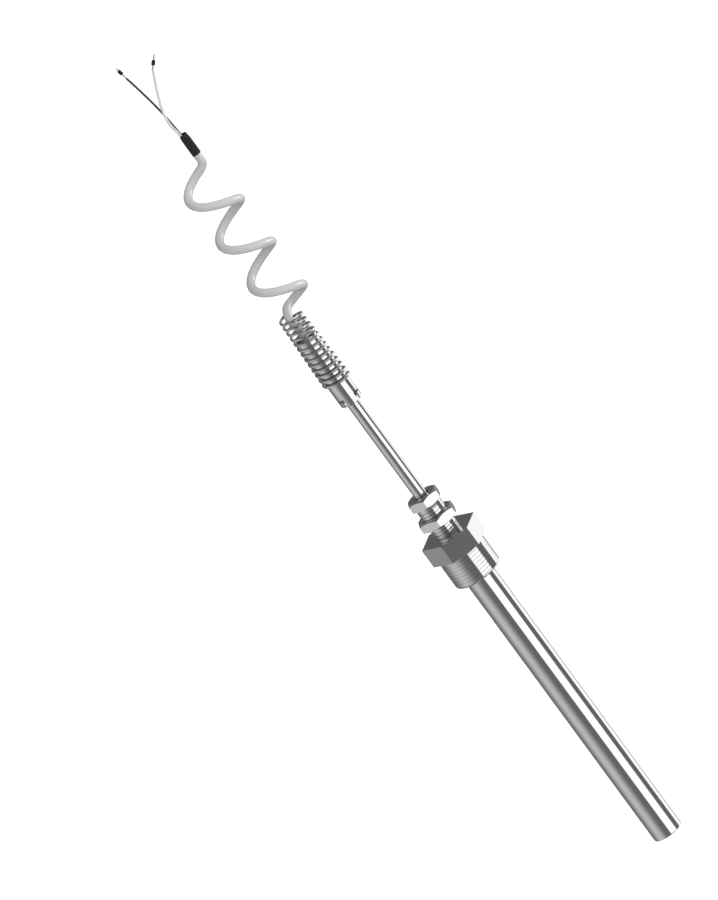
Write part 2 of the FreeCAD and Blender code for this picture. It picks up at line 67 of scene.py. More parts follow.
MM = 0.001
FULL_TURN = 2 * math.pi
HEX_STEP = FULL_TURN / 6
ROUND_COLUMNS = 128                # columns round a turned piece
SHARP_ANGLE = math.radians(32)     # edges that turn by more than this stay sharp
WELD = 1e-7

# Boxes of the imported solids, in metres
BUSHING, TUBE, GLAND, NUT, SHEATH, COLLAR, WASHER, FERRULE, CAP, LOAD, TAIL, CABLE_TOP, SLEEVE = map(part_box, (
    "process_bushing", "protection_tube", "gland_screw", "lock_nut", "probe_sheath", "stem_collar", "thrust_washer",
    "transition_ferrule", "bayonet_cap", "load_spring", "cable_tail", "cable_top", "heat_shrink"))


def width(box):
    """Size of a box along X."""
    return box[1].x - box[0].x


def length(name, description, millimetres):
    """A length, given in millimetres."""
    return FloatProperty(name=name, description=description, default=millimetres * MM, unit="LENGTH", precision=5)


def angle(name, description, degrees):
    """An angle, given in degrees."""
    return FloatProperty(name=name, description=description, default=math.radians(degrees), subtype="ANGLE")


def share(name, description, default):
    """A share between 0 and 1."""
    return FloatProperty(name=name, description=description, default=default, min=0, max=1, subtype="FACTOR")


def count(name, description, default):
    """A whole number of one or more."""
    return IntProperty(name=name, description=description, default=default, min=1)


def colour(name, description, default):
    """A linear colour."""
    return FloatVectorProperty(name=name, description=description, default=default, size=3, min=0, max=1,
                               subtype="COLOR")


class SteelSizes(bpy.types.PropertyGroup):
    """Sizes of the turned pieces that their boxes don't give."""
    stem_guide_d: length("Stem guide", "Bore that the stem runs in", 7.6)
    gland_bore_d: length("Gland bore", "Bore for the gland screw's thread", 14.42)
    seat_height: length("Packing seat", "Height of the seat under the packing", -5.5)
    socket_d: length("Tube socket", "Socket for the protection tube", 16.56)
    tube_bore_d: length("Tube bore", "Bore of the protection tube", 8.2)
    tube_end_wall: length("Tube end", "Thickness of the tube's closed end", 6.0)
    tube_round: length("Tip rounding", "Rounding of the tube's tip", 0.6)
    process_pitch: length("Process pitch", "Pitch of the process thread", 1.9)
    process_turns: count("Process turns", "Turns of the process thread", 8)
    process_depth: length("Process groove", "Depth of the process thread's groove", 0.2)
    process_chamfer: length("Process chamfer", "Chamfer at the end of the process thread", 0.8)
    gland_pitch: length("Gland pitch", "Pitch of the gland screw's thread", 2.0)
    gland_turns: count("Gland turns", "Turns of the gland screw's thread", 14)
    gland_depth: length("Gland groove", "Depth of the gland screw's groove", 0.45)
    gland_chamfer: length("Gland chamfer", "Chamfer at the end of the gland screw", 0.9)
    process_groove: share("Process groove share", "Share of the pitch that a groove takes", 0.12)
    gland_groove: share("Gland groove share", "Share of the pitch that a groove takes", 0.16)
    crest_crown: length("Crest crown", "How far a thread's crest falls to its edges", 0.03)
    gland_head_flats: length("Gland head", "Gland screw head across flats", 16.5)
    gland_head_height: length("Gland head height", "Height of the gland screw's head", 5.6)
    gland_mouth_d: length("Gland mouth", "Countersink in the gland screw's head", 8.6)
    gland_mouth_depth: length("Gland mouth depth", "Depth of that countersink", 2.0)
    lock_nut_flats: length("Lock nut", "Lock nut across flats", 19.6)
    nut_countersink: length("Nut countersink", "Countersink at both ends of the nut's bore", 0.45)
    small_hex_turn: angle("Hexagon turn", "Turn of the two small hexagons", 19.0)
    crown_share: share("Crown share", "Flat circle on a small hexagon's end, of its across flats", 0.95)
    hex_round: length("Corner rounding", "Rounding of a hexagon's corners", 0.12)
    edge_break: length("Edge break", "Rounding of turned edges", 0.12)
    hex_edge: length("Hexagon edge", "Rounding of the large hexagon's end edges", 0.2)
    sheath_wall: length("Sheath wall", "Wall of the probe's sheath", 0.7)
    fit_gap: length("Fit gap", "Gap of a piece that is fixed on the stem or the cable", 0.02)
    ferrule_neck_d: length("Ferrule neck", "Neck of the transition ferrule", 7.2)
    ferrule_grip: length("Ferrule grip", "Length of the ferrule on the sheath", 6.2)


class CapSizes(bpy.types.PropertyGroup):
    """Sizes of the bayonet cap."""
    socket_d: length("Socket", "Bore that takes the adapter", 10.4)
    socket_depth: length("Socket depth", "Depth of that bore", 22.4)
    web: length("Web", "Thickness of the web that the stem passes", 2.5)
    throat_d: length("Throat", "Bore above the web", 10.6)
    rim_chamfer: length("Rim chamfer", "Chamfer of the rim", 0.3)
    slot_height: length("Slot height", "Height of a slot above the rim", 4.6)
    slot_ramp: length("Cross leg", "Height of a slot's cross leg", 1.2)
    slot_floor: length("Pocket floor", "Rim left under a slot's pocket", 1.0)
    entry_width: length("Entry leg", "Width of a slot's entry leg", 2.0)
    pocket_width: length("Pocket leg", "Width of a slot's pocket leg", 1.7)
    entry_turn: angle("Entry direction", "Direction of the first entry leg", -55.0)
    pocket_offset: angle("Pocket offset", "Pocket leg from its entry leg", 41.0)
    slots: count("Slots", "Number of bayonet slots", 3)


class SpringSizes(bpy.types.PropertyGroup):
    """Sizes of the strain-relief spring and the load spring."""
    relief_wire: length("Relief wire", "Wire of the strain-relief spring", 1.55)
    relief_low_d: length("Lowest coil", "Mean diameter of its lowest coil", 14.45)
    relief_high_d: length("Top coil", "Mean diameter of its top coil", 11.85)
    relief_pitch: length("Relief pitch", "Rise of its wire in a turn", 3.33)
    relief_bottom: length("Lower end", "Height of the lower end of its wire", 109.95)
    relief_top: length("Upper end", "Height of the upper end of its wire", 152.5)
    relief_turn: angle("Start direction", "Direction of its lower end", 10.0)
    load_wire: length("Load wire", "Wire of the load spring", 0.9)
    load_d: length("Load coil", "Mean diameter of the load spring", 8.5)
    load_pitch: length("Load pitch", "Rise of its wire in a turn", 2.3)
    load_travel: length("Load travel", "How far the cap presses it", 6.0)


class CableSizes(bpy.types.PropertyGroup):
    """Sizes of the curly cable."""
    cable_d: length("Cable", "Diameter of the cable", 4.6)
    coil_radius: length("Coil radius", "Radius of the helix at the cable's middle", 11.06)
    coil_pitch: length("Coil pitch", "Rise of the helix in a turn", 27.84)
    coil_depth: share("Coil depth", "Depth of the helix, of its width", 0.928)
    coil_x: length("Axis across", "Place of the helix axis across, at its middle", 4.23)
    coil_y: length("Axis back", "Place of the helix axis to the back, at its middle", -0.25)
    coil_lean: FloatProperty(name="Lean", description="How far the axis leans back over its height", default=0.0157)
    coil_tilt: FloatProperty(name="Tilt", description="How far a turn falls to the back", default=0.035)
    coil_low: length("Coil start", "Height where the helix starts", 158.7)
    coil_high: length("Coil end", "Height where the helix ends", 240.4)
    crest_height: length("Right crest", "Height of a crest of the helix on the right", 161.92)
    crest_turn: angle("Right", "Direction of the photo's right", -3.0)
    cable_length: length("Cable length", "Length from the sheath to the end of the jacket", 268.2)


class LeadSizes(bpy.types.PropertyGroup):
    """Sizes of the heat-shrink sleeve, the leads and their pins."""
    sleeve_taper: length("Taper", "Length of the sleeve's drawn-in top", 3.0)
    sleeve_mouth_d: length("Mouth", "Outside diameter of the sleeve's top", 4.1)
    sleeve_wall: length("Sleeve wall", "Wall of the sleeve", 0.12)
    dark_d: length("Dark lead", "Diameter of the dark lead", 1.2)
    white_d: length("White lead", "Diameter of the white lead", 1.45)
    dark_length: length("Dark length", "Length of the dark lead's insulation", 49.8)
    white_length: length("White length", "Length of the white lead's insulation", 47.3)
    core_d: length("Core", "Diameter of a bare core", 0.8)
    core_length: length("Core length", "Length of a bare core", 7.6)
    dark_bare: length("Dark bare length", "Bare core between the dark insulation and its collar", 3.2)
    white_bare: length("White bare length", "Bare core between the white insulation and its collar", 1.9)
    collar_d: length("Collar", "Diameter of a lead's collar", 1.95)
    collar_length: length("Collar length", "Length of a lead's collar", 2.6)


class FinishColours(bpy.types.PropertyGroup):
    """Colours of the finishes."""
    steel: colour("Steel", "Polished stainless steel", (0.62, 0.615, 0.605))
    wire: colour("Spring wire", "Bright drawn spring wire", (0.60, 0.595, 0.585))
    jacket: colour("Cable jacket", "Light grey jacket", (0.485, 0.48, 0.472))
    sleeve: colour("Black sleeve", "Heat-shrink sleeve and collars", (0.020, 0.0195, 0.019))
    dark: colour("Dark lead", "Brown-black insulation", (0.060, 0.049, 0.045))
    white: colour("White lead", "White insulation", (0.60, 0.595, 0.585))
    tinned: colour("Tinned core", "Tinned copper strands", (0.66, 0.655, 0.645))
    packing: colour("Packing", "White sealing compound", (0.78, 0.78, 0.75))
    ceramic: colour("Ceramic", "Fired ceramic", (0.80, 0.77, 0.70))
    potting: colour("Potting", "Black potting resin", (0.03, 0.03, 0.03))
    copper: colour("Inner leads", "Bare drawn wire", (0.75, 0.48, 0.30))


class StageSettings(bpy.types.PropertyGroup):
    """Camera, floor and light."""
    azimuth: angle("Azimuth", "Direction that the camera looks from", -3.0)
    elevation: angle("Elevation", "Camera above the horizon", 17.1)
    roll: angle("Roll", "Lean of the probe to the left in the picture", 36.3)
    target_right: length("Target across", "Middle of the picture, to the camera's right of the axis", -11.78)
    target_height: length("Target height", "Middle of the picture, above the origin", 73.64)
    frame_height: length("Frame height", "Height of the picture at the probe", 455.57)
    floor_drop: length("Floor drop", "Floor under the tube's tip", 100.0)


SETTINGS = {
    "rtd_steel": SteelSizes,
    "rtd_cap": CapSizes,
    "rtd_springs": SpringSizes,
    "rtd_cable": CableSizes,
    "rtd_leads": LeadSizes,
    "rtd_colours": FinishColours,
    "rtd_stage": StageSettings,
}


# Surfaces

def grid_faces(rows, columns, wrap_rows=False, wrap_columns=True):
    """Corner numbers of the quads between neighbouring rows and columns of a grid of points."""
    row = np.arange(rows if wrap_rows else rows - 1)[:, None]
    column = np.arange(columns if wrap_columns else columns - 1)[None, :]
    next_row = (row + 1) % rows
    next_column = (column + 1) % columns
    corners = [row * columns + column, next_row * columns + column,
               next_row * columns + next_column, row * columns + next_column]
    return np.stack(corners, axis=-1).reshape(-1, 4)


def build_mesh(name, patches):
    """A mesh of several patches of points and quads: welded where they meet, smooth except at sharp edges."""
    points = np.concatenate([patch_points.reshape(-1, 3) for patch_points, _ in patches])
    starts = np.cumsum([0] + [patch_points.size // 3 for patch_points, _ in patches])
    faces = np.concatenate([quads + start for (_, quads), start in zip(patches, starts)])
    mesh = bpy.data.meshes.new(name)
    mesh.vertices.add(len(points))
    mesh.vertices.foreach_set("co", points.ravel())
    mesh.loops.add(faces.size)
    mesh.loops.foreach_set("vertex_index", faces.ravel().astype(np.int32))
    mesh.polygons.add(len(faces))
    mesh.polygons.foreach_set("loop_start", np.arange(0, faces.size, 4, dtype=np.int32))
    mesh.update(calc_edges=True)
    work = bmesh.new()
    work.from_mesh(mesh)
    bmesh.ops.remove_doubles(work, verts=work.verts, dist=WELD)
    work.to_mesh(mesh)
    work.free()
    mesh.polygons.foreach_set("use_smooth", np.ones(len(mesh.polygons), dtype=bool))
    mesh.set_sharp_from_angle(angle=SHARP_ANGLE)
    mesh.update()
    return mesh


def round_points(radius, height, angles):
    """Points at a radius, a height and an angle about the axis."""
    return np.stack(np.broadcast_arrays(radius * np.cos(angles), radius * np.sin(angles), height), axis=-1)


def even_angles(columns=ROUND_COLUMNS):
    """Evenly spaced angles round the axis."""
    return np.linspace(0, FULL_TURN, columns, endpoint=False)


def section(corners, columns):
    """Corners of a section as an array of rows, columns and (radius, height); a radius or height may vary round it."""
    spread = [np.stack(np.broadcast_arrays(r, z, np.zeros(columns))[:2], axis=-1) for r, z, _ in corners]
    return np.array(spread), np.array([cut for _, _, cut in corners])


ARC = np.linspace(0, 1, 5)         # places along a rounded corner
SUPPORT = 1.3                      # a row this many cuts away keeps the flat beside a rounding flat


def soften(corners, cuts):
    """Round the corners of a section: each gives way to the quadratic arc between points one cut away from it.

    With t from 0 to 1 the arc is (1 - t)^2 start + 2 t (1 - t) corner + t^2 end. A row just outside each end of
    the arc keeps the neighbouring flats flat.
    """
    into = np.roll(corners, 1, axis=0) - corners
    out_of = np.roll(corners, -1, axis=0) - corners
    into /= np.maximum(np.linalg.norm(into, axis=-1, keepdims=True), 1e-12)
    out_of /= np.maximum(np.linalg.norm(out_of, axis=-1, keepdims=True), 1e-12)
    cut = cuts[:, None, None]
    start, end = corners + into * cut, corners + out_of * cut
    t = ARC[None, :, None, None]
    arc = (1 - t) ** 2 * start[:, None] + 2 * t * (1 - t) * corners[:, None] + t ** 2 * end[:, None]
    before = (corners + into * cut * SUPPORT)[:, None]
    after = (corners + out_of * cut * SUPPORT)[:, None]
    rows = np.concatenate([before, arc, after], axis=1)
    return rows.reshape(-1, *corners.shape[1:])


def turned_patch(corners, angles, closed):
    """A section carried round the axis; corners are (radius, height, rounding), top outwards, then down and in."""
    rows = soften(*section(corners, len(angles)))
    points = round_points(rows[..., 0], rows[..., 1], angles)
    return points, grid_faces(len(rows), len(angles), wrap_rows=closed)


def hexagon_columns(across_flats, rounding, turn):
    """Angles round a hexagon, close together at its rounded corners, and its radius at each.

    On a flat the radius is half the across flats over the cosine of the angle from the flat's middle. Near a
    corner it is the distance to an arc of the rounding's radius, whose centre lies on the corner's line.
    """
    apothem = across_flats / 2
    centre = (apothem - rounding) / math.cos(HEX_STEP / 2)
    meet = math.atan2(rounding * math.sin(HEX_STEP / 2), centre + rounding * math.cos(HEX_STEP / 2))
    near = np.array([0, 0.4, 0.75, 1.0, 1.4]) * meet
    flat = np.linspace(near[-1], HEX_STEP - near[-1], 14)[1:-1]
    one_side = np.concatenate([near, flat, HEX_STEP - near[:0:-1]])
    angles = (np.arange(6)[:, None] * HEX_STEP + one_side).ravel() + turn
    off_corner = np.tile(np.minimum(one_side, HEX_STEP - one_side), 6)
    on_arc = np.sqrt(np.maximum(rounding ** 2 - (centre * np.sin(off_corner)) ** 2, 0))
    radius = np.where(off_corner < meet, centre * np.cos(off_corner) + on_arc,
                      apothem / np.cos(HEX_STEP / 2 - off_corner))
    return angles, radius


def crest_radius(place, crest_r, depth, groove, crown):
    """Radius across one pitch, with place 0 and 1 in the middle of a groove: a V groove and a crowned crest.

    The crest is its radius less the crown times the squared distance from its middle. Within half the groove's
    share of a groove, the radius also falls in a straight line to the groove's depth.
    """
    off_groove = np.abs(place - np.round(place))
    off_middle = np.minimum(np.abs(place - 0.5) / (0.5 - groove / 2), 1)
    return crest_r - crown * off_middle ** 2 - depth * np.clip(1 - off_groove / (groove / 2), 0, 1)


def thread_patch(angles, turns, pitch, bottom, chamfer, crest_r, depth, groove, crown):
    """A thread as one helical strip, a pitch wide and cut square at both ends, and its radius round each end.

    A point has the turn t it lies on and its place s across the pitch: its height is bottom + (t + s) pitch,
    its angle t turns, and its radius that of the crest section at s, held inside the chamfer's cone. In the
    first and last turn s is held between the two end planes.
    """
    half = groove / 2
    across = np.concatenate([[0, half / 2], np.linspace(half, 1 - half, 9), [1 - half / 2, 1]])[None, :]
    lap = (angles - angles[0]) / FULL_TURN
    turn = np.append((np.arange(-1, turns)[:, None] + lap).ravel(), turns)[:, None]
    place = np.minimum(np.maximum(across, -turn), turns - turn)
    height = bottom + (turn + place) * pitch
    cone_r = crest_r - chamfer
    radius = np.minimum(crest_radius(place, crest_r, depth, groove, crown), cone_r + height - bottom)
    points = round_points(radius, height, angles[0] + FULL_TURN * turn)
    end_radius = crest_radius(1 - lap, crest_r, depth, groove, crown)
    faces = grid_faces(points.shape[0], points.shape[1], wrap_columns=False)
    return (points, faces), np.minimum(end_radius, cone_r), end_radius


def coil_patch(wire_r, low_r, high_r, bottom, top, pitch, start, hand, steps=72, sides=20):
    """A round wire wound into a conical helix, with rounded ends.

    At turn t the wire's middle lies at a radius between the low and the high one, at bottom + t pitch and at the
    start angle plus hand times t turns. Its section is a circle in the plane of the outward direction and of
    the direction across the wire. Past each end the circle shrinks as a half sphere does.
    """
    turns = (top - bottom) / pitch
    cap = np.linspace(0, math.pi / 2, 6)
    along_steps = np.linspace(0, turns, int(turns * steps))
    turn = np.concatenate([np.zeros(len(cap)), along_steps[1:-1], np.full(len(cap), turns)])
    swell = np.concatenate([np.sin(cap), np.ones(len(along_steps) - 2), np.cos(cap)])
    past = np.concatenate([-np.cos(cap), np.zeros(len(along_steps) - 2), np.sin(cap)]) * wire_r
    bearing = start + hand * FULL_TURN * turn
    radius = low_r + (high_r - low_r) * turn / turns
    outward = round_points(1.0, 0.0, bearing)
    slope = np.arctan2(pitch, FULL_TURN * radius)[:, None]
    around = np.stack([-np.sin(bearing), np.cos(bearing), np.zeros_like(bearing)], axis=-1) * hand
    along = around * np.cos(slope) + np.array([0, 0, 1]) * np.sin(slope)
    across = np.cross(along, outward)
    middle = outward * radius[:, None] + np.array([0, 0, 1]) * (bottom + turn * pitch)[:, None]
    middle = middle + along * past[:, None]
    lean = even_angles(sides)[None, :, None]
    ring = outward[:, None] * np.cos(lean) - across[:, None] * np.sin(lean)
    points = middle[:, None] + ring * (wire_r * swell)[:, None, None]
    return points, grid_faces(len(turn), sides)


def set_along(points, start, direction):
    """Points made round the Z axis, turned so that Z runs in a direction and moved to a start."""
    turn = np.array(Vector((0, 0, 1)).rotation_difference(Vector(direction)).to_matrix())
    return points @ turn.T + np.array(start)


# Finishes

def fill(tree, made, sockets):
    """Give each named socket of a node its value or its link."""
    for name, value in sockets.items():
        if isinstance(value, bpy.types.NodeSocket):
            tree.links.new(value, made.inputs[name])
        else:
            made.inputs[name].default_value = value


def add_node(tree, kind, output, sockets=None, **settings):
    """One output of a new shader node with these settings and sockets."""
    made = tree.nodes.new(f"ShaderNode{kind}")
    for name, value in settings.items():
        setattr(made, name, value)
    fill(tree, made, sockets or {})
    return made.outputs[output]


def arithmetic(tree, operation, *values):
    """The result of an operation on one or two values."""
    return add_node(tree, "Math", "Value", dict(enumerate(values)), operation=operation)


def map_range(tree, value, low, high, to_low, to_high, **settings):
    """A value carried from one range to another."""
    return add_node(tree, "MapRange", "Result", {"Value": value, "From Min": low, "From Max": high,
                                                 "To Min": to_low, "To Max": to_high}, **settings)


def mix(tree, factor, first, second, kind="RGBA"):
    """One of two values or colours, or a share of each, by a factor."""
    return add_node(tree, "Mix", "Result", {"Factor": factor, "A": first, "B": second}, data_type=kind)


def new_finish(name):
    """An empty node material with its tree and its shader."""
    material = bpy.data.materials.new(name)
    material.use_nodes = True
    tree = material.node_tree
    return material, tree, tree.nodes["Principled BSDF"]


def object_noise(tree, scale, stretch=(1, 1, 1), detail=4.0):
    """Noise on the object's own coordinates, stretched along its axes."""
    place = add_node(tree, "Mapping", "Vector", {"Vector": add_node(tree, "TexCoord", "Object"), "Scale": stretch})
    return add_node(tree, "TexNoise", "Fac", {"Vector": place, "Scale": scale, "Detail": detail})


def spread(tree, pattern, low, high):
    """A pattern's middle part spread from low to high."""
    return map_range(tree, pattern, 0.3, 0.7, low, high)


def tint(tree, pattern, colour_value, depth):
    """A colour that a pattern darkens by up to a share."""
    return mix(tree, pattern, (*[c * (1 - depth) for c in colour_value], 1), (*colour_value, 1))


def bump(tree, pattern, strength, distance):
    """A bump from a pattern."""
    return add_node(tree, "Bump", "Normal", {"Height": pattern, "Strength": strength, "Distance": distance})


def inside(tree, radius, top):
    """1 nearer to the probe's axis than a radius and under a height, else 0."""
    place = add_node(tree, "TexCoord", "Object")
    flat = add_node(tree, "VectorMath", "Vector", {0: place, 1: (1, 1, 0)}, operation="MULTIPLY")
    reach = add_node(tree, "VectorMath", "Value", {0: flat}, operation="LENGTH")
    height = add_node(tree, "SeparateXYZ", "Z", {"Vector": place})
    return arithmetic(tree, "MULTIPLY", arithmetic(tree, "LESS_THAN", reach, radius),
                      arithmetic(tree, "LESS_THAN", height, top))


def metal_finish(name, colour_value, smooth, rough, mark_scale, bore=None):
    """Polished metal: fine turning marks that follow the height, and a faint unevenness of the polish.

    Inside a bore it is dull and its colour is darkened, a painted shade of the recess; the bore is its radius,
    the height of its upper end and the share of the colour that is left.
    """
    material, tree, shader = new_finish(name)
    cloud = object_noise(tree, 160.0)
    marks = object_noise(tree, 1.0, stretch=(20, 20, mark_scale), detail=2.0)
    shade, gloss, metal = tint(tree, cloud, colour_value, 0.05), spread(tree, marks, smooth, rough), 1.0
    if bore:
        radius, top, left = bore
        in_shaded_bore = inside(tree, radius, top)
        # Painted shade: inside the bore the colour is darkened to the share that is left, and mottled by noise
        shade = mix(tree, in_shaded_bore, shade, tint(tree, cloud, [c * left for c in colour_value], 0.4))
        gloss = mix(tree, in_shaded_bore, gloss, spread(tree, marks, 0.4, 0.55), "FLOAT")
        metal = spread(tree, in_shaded_bore, 1.0, 0.1)
    fill(tree, shader, {"Base Color": shade, "Roughness": gloss, "Metallic": metal,
                        "Normal": bump(tree, marks, 0.02, 0.00002)})
    return material


def plastic_finish(name, colour_value, smooth, rough, grain, depth, relief, shine=0.5):
    """Moulded or extruded plastic: a fine grain in colour, gloss and surface."""
    material, tree, shader = new_finish(name)
    fine, broad = object_noise(tree, grain), object_noise(tree, grain / 8)
    fill(tree, shader, {"Base Color": tint(tree, broad, colour_value, depth),
                        "Roughness": spread(tree, fine, smooth, rough), "Specular IOR Level": shine,
                        "Normal": bump(tree, fine, relief, 0.00005)})
    return material


# What the finishes of the record's material slots take: a colour's name, then roughness from and to, and for
# metal the scale of its marks, for plastic the scale of its grain, its depth in colour and in surface, and its shine
METALS = {
    "polished_steel": ("steel", 0.05, 0.09, 9000.0),
    "spring_wire": ("wire", 0.08, 0.13, 4000.0),
    "tinned_wire": ("tinned", 0.22, 0.34, 6000.0),
    "lead_metal": ("copper", 0.25, 0.38, 5000.0),
}
PLASTICS = {
    "cable_jacket": ("jacket", 0.35, 0.43, 1800.0, 0.06, 0.12),
    "black_sleeve": ("sleeve", 0.55, 0.70, 1500.0, 0.15, 0.2, 0.2),
    "dark_insulation": ("dark", 0.40, 0.55, 2600.0, 0.2, 0.15),
    "white_insulation": ("white", 0.38, 0.52, 2600.0, 0.06, 0.15),
    "packing": ("packing", 0.5, 0.7, 1200.0, 0.05, 0.2),
    "ceramic": ("ceramic", 0.6, 0.8, 1600.0, 0.08, 0.3),
    "potting": ("potting", 0.25, 0.45, 900.0, 0.2, 0.1),
}


def finish_for(slot, bore=None):
    """The finish of one of the record's material slots, made once for each bore that is dull and darkened with painted
    shade.
    """
    name = f"{slot}_bored_{bore[0] / MM:.1f}_finish" if bore else f"{slot}_finish"
    made = bpy.data.materials.get(name)
    if made:
        return made
    colours = bpy.context.scene.rtd_colours
    if slot in METALS:
        colour_name, *values = METALS[slot]
        return metal_finish(name, getattr(colours, colour_name), *values, bore)
    colour_name, *values = PLASTICS[slot]
    return plastic_finish(name, getattr(colours, colour_name), *values)


SLOT_OF_NODE = {part["node"]: part["material_slot"] for part in frame["record"]["subparts"]}


def add_piece(name, data, body, *nodes, bore=None):
    """Put a piece into the scene on a body in place of CAD nodes, with the finish of the first one's slot."""
    piece = bpy.data.objects.new(name, data)
    bpy.context.scene.collection.objects.link(piece)
    slot = SLOT_OF_NODE[nodes[0]]
    data.materials.append(finish_for(slot, bore))
    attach(piece, body)
    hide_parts(*nodes)
    return piece


def add_mesh(name, patches, body, node, bore=None):
    """A piece of one or more patches in place of a CAD node."""
    return add_piece(name, build_mesh(name, patches), body, node, bore=bore)


def add_turned(name, corners, body, node, closed=True):
    """A turned piece about the probe's axis."""
    return add_mesh(name, [turned_patch(corners, even_angles(), closed)], body, node)


# Operators

class RTD_OT_bushing(bpy.types.Operator):
    """Process bushing: hexagon, pipe thread, gland bore, packing seat and tube socket"""
    bl_idname = "rtd_probe.bushing"
    bl_label = "Process bushing"

    def execute(self, context):
        steel = context.scene.rtd_steel
        low, high = BUSHING
        columns, hex_r = hexagon_columns(high.y - low.y, steel.hex_round, 0.0)
        crest_r = frame["record"]["mounts"][0]["dims"]["r_mm"] * MM
        thread, low_r, high_r = thread_patch(
            columns, steel.process_turns, steel.process_pitch, low.z, steel.process_chamfer, crest_r,
            steel.process_depth, steel.process_groove, steel.crest_crown)
        thread_top = low.z + steel.process_turns * steel.process_pitch
        neck_r = crest_r - steel.crest_crown - steel.process_depth
        corners = [
            (low_r, low.z, 0), (steel.socket_d / 2, low.z, steel.edge_break), (steel.socket_d / 2, TUBE[1].z, 0),
            (steel.stem_guide_d / 2, TUBE[1].z, 0), (steel.stem_guide_d / 2, steel.seat_height, 0),
            (steel.gland_bore_d / 2, steel.seat_height, 0), (steel.gland_bore_d / 2, high.z, steel.edge_break),
            (hex_r, high.z, steel.hex_edge), (hex_r, 0, steel.hex_edge), (neck_r, 0, 0), (high_r, thread_top, 0),
        ]
        add_mesh("bushing_turned", [thread, turned_patch(corners, columns, False)], "well", "process_bushing")
        return {"FINISHED"}


class RTD_OT_tube(bpy.types.Operator):
    """Protection tube: drilled from the top, closed and rounded at the tip"""
    bl_idname = "rtd_probe.tube"
    bl_label = "Protection tube"

    def execute(self, context):
        steel = context.scene.rtd_steel
        low, high = TUBE
        tube_r, bore_r = width(TUBE) / 2, steel.tube_bore_d / 2
        bore_end = low.z + steel.tube_end_wall
        add_turned("tube_drawn", [
            (0, bore_end, 0), (bore_r, bore_end, 0), (bore_r, high.z, steel.edge_break),
            (tube_r, high.z, steel.edge_break), (tube_r, low.z, steel.tube_round), (0, low.z, 0),
        ], "well", "protection_tube", closed=False)
        return {"FINISHED"}


class RTD_OT_gland(bpy.types.Operator):
    """Gland screw and lock nut: crowned hexagons and the screw's thread"""
    bl_idname = "rtd_probe.gland"
    bl_label = "Gland screw and lock nut"

    def execute(self, context):
        steel = context.scene.rtd_steel
        self.gland_screw(steel)
        self.lock_nut(steel)
        return {"FINISHED"}

    @staticmethod
    def crown(hex_r, flat_r, bottom, top, edge):
        """Corners of a crowned hexagon from its top flat to its bottom flat; both ends fall at 30 degrees."""
        fall = (hex_r - flat_r) * math.tan(math.radians(30))
        return [(flat_r, top, edge), (hex_r, top - fall, edge), (hex_r, bottom + fall, edge), (flat_r, bottom, edge)]

    def gland_screw(self, steel):
        low, high = GLAND
        columns, hex_r = hexagon_columns(steel.gland_head_flats, steel.hex_round, steel.small_hex_turn)
        crest_r = steel.gland_bore_d / 2 - 3 * steel.fit_gap
        thread, low_r, high_r = thread_patch(
            columns, steel.gland_turns, steel.gland_pitch, low.z, steel.gland_chamfer, crest_r,
            steel.gland_depth, steel.gland_groove, steel.crest_crown)
        head = high.z - steel.gland_head_height
        flat_r = steel.gland_head_flats / 2 * steel.crown_share
        guide_r, edge = steel.stem_guide_d / 2, steel.edge_break / 2
        corners = [
            (low_r, low.z, 0), (guide_r, low.z, edge), (guide_r, high.z - steel.gland_mouth_depth, edge),
            (steel.gland_mouth_d / 2, high.z, edge), *self.crown(hex_r, flat_r, head, high.z, edge),
            (crest_r - steel.crest_crown - steel.gland_depth, head, 0),
            (high_r, low.z + steel.gland_turns * steel.gland_pitch, 0),
        ]
        # In the mouth and the stem's bore a quarter of the colour is left: painted shade of the recess
        add_mesh("gland_screw_cut", [thread, turned_patch(corners, columns, False)], "gland", "gland_screw",
                 bore=(steel.gland_mouth_d / 2 - edge, high.z, 0.25))

    def lock_nut(self, steel):
        low, high = NUT
        columns, hex_r = hexagon_columns(steel.lock_nut_flats, steel.hex_round, steel.small_hex_turn)
        flat_r = steel.lock_nut_flats / 2 * steel.crown_share
        bore_r, sink, edge = steel.gland_bore_d / 2, steel.nut_countersink, steel.edge_break / 2
        corners = [
            (bore_r + sink, high.z, edge), *self.crown(hex_r, flat_r, low.z, high.z, edge),
            (bore_r + sink, low.z, edge), (bore_r, low.z + sink, edge), (bore_r, high.z - sink, edge),
        ]
        add_mesh("lock_nut_cut", [turned_patch(corners, columns, True)], "nut", "lock_nut")


class RTD_OT_stem(bpy.types.Operator):
    """Stem: sheath, stem collar, thrust washer and transition ferrule"""
    bl_idname = "rtd_probe.stem"
    bl_label = "Stem"

    def execute(self, context):
        steel = context.scene.rtd_steel
        edge = steel.edge_break
        stem_r = width(SHEATH) / 2
        self.ring("sheath_drawn", SHEATH, stem_r - steel.sheath_wall, edge, "probe", "probe_sheath")
        self.ring("collar_turned", COLLAR, stem_r + steel.fit_gap, edge, "probe", "stem_collar")
        self.ring("washer_turned", WASHER, steel.stem_guide_d / 2, edge, "cap_seat", "thrust_washer")
        low, high = FERRULE
        wide_r, neck_r = width(FERRULE) / 2, steel.ferrule_neck_d / 2
        stem_bore, cable_bore = stem_r + steel.fit_gap, width(TAIL) / 2 + steel.fit_gap
        shoulder = low.z + steel.ferrule_grip
        step = shoulder + steel.fit_gap
        add_turned("ferrule_turned", [
            (cable_bore, high.z, edge), (neck_r, high.z, edge), (neck_r, shoulder + wide_r - neck_r, edge),
            (wide_r, shoulder, edge), (wide_r, low.z, edge), (stem_bore, low.z, edge), (stem_bore, step, 0),
            (cable_bore, step, 0),
        ], "probe", "transition_ferrule")
        return {"FINISHED"}

    @staticmethod
    def ring(name, box, bore_r, edge, body, node):
        """A turned ring with broken edges that fills a node's box."""
        low, high = box
        outer_r = width(box) / 2
        add_turned(name, [
            (bore_r, high.z, edge), (outer_r, high.z, edge), (outer_r, low.z, edge), (bore_r, low.z, edge),
        ], body, node)


